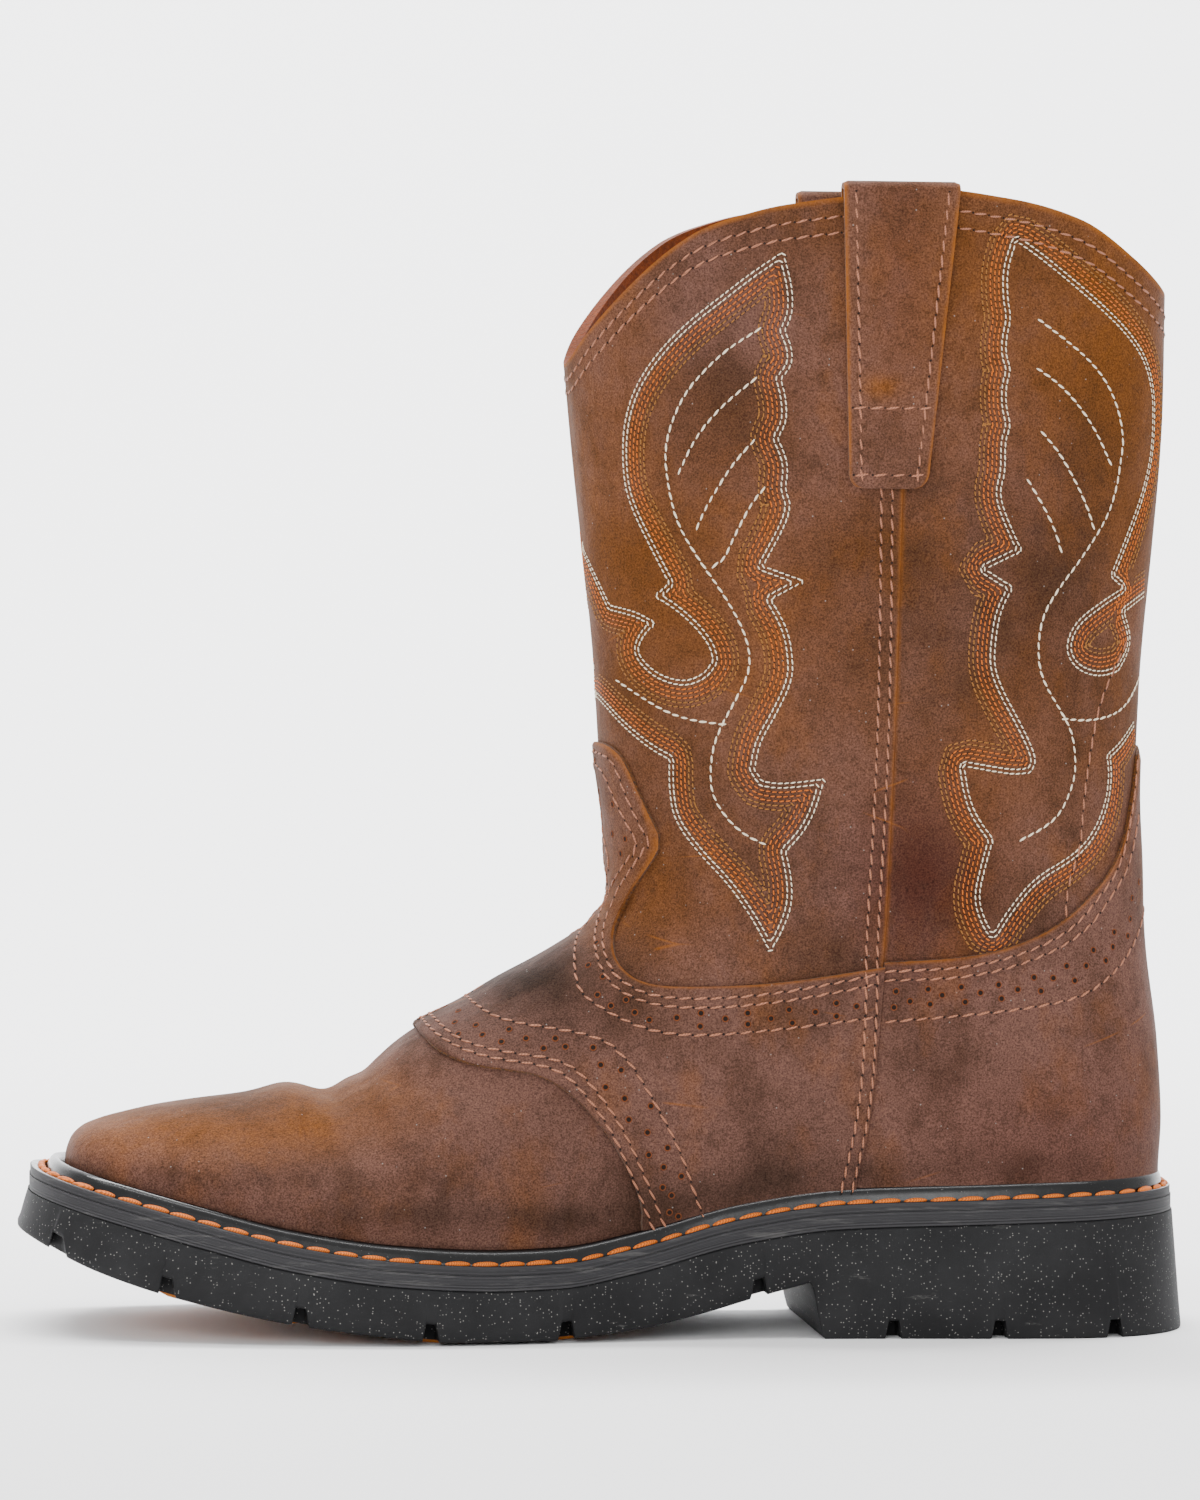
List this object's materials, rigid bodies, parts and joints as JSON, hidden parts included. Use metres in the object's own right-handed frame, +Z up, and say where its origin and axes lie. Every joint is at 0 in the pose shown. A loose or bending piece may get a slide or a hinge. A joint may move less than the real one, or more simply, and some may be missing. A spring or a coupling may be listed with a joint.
{
  "type": "western work boot",
  "caption": "Pull-on western work boot with a hollow leather upper, saddle and counter overlays, pull straps, welt and a lugged rubber sole.",
  "frame": {"origin": "on the floor under the centre of the boot's bounding box", "axes": "+X to the toe, +Y to the outer (lateral) side, +Z up"},
  "size_m": [0.305, 0.1119, 0.2976],
  "materials": {
    "rubber": "matt black moulded rubber with pale dust",
    "tan_rubber": "matt tan moulded rubber",
    "midsole": "trimmed and sanded dark grey edge",
    "welt": "glossy black raised welt",
    "insole": "plain tan board",
    "leather": "distressed oiled brown leather, matt",
    "overlay_leather": "distressed oiled brown leather with raw edges",
    "strap_leather": "oiled brown leather strap"
  },
  "bodies": {
    "root": {"outsole": "rubber", "tread_insert": "tan_rubber", "midsole": "midsole", "welt": "welt", "insole": "insole", "upper": "leather", "saddle": "overlay_leather", "counter": "overlay_leather", "pull_strap_lateral": "strap_leather", "pull_strap_medial": "strap_leather"}
  },
  "joints": []
}
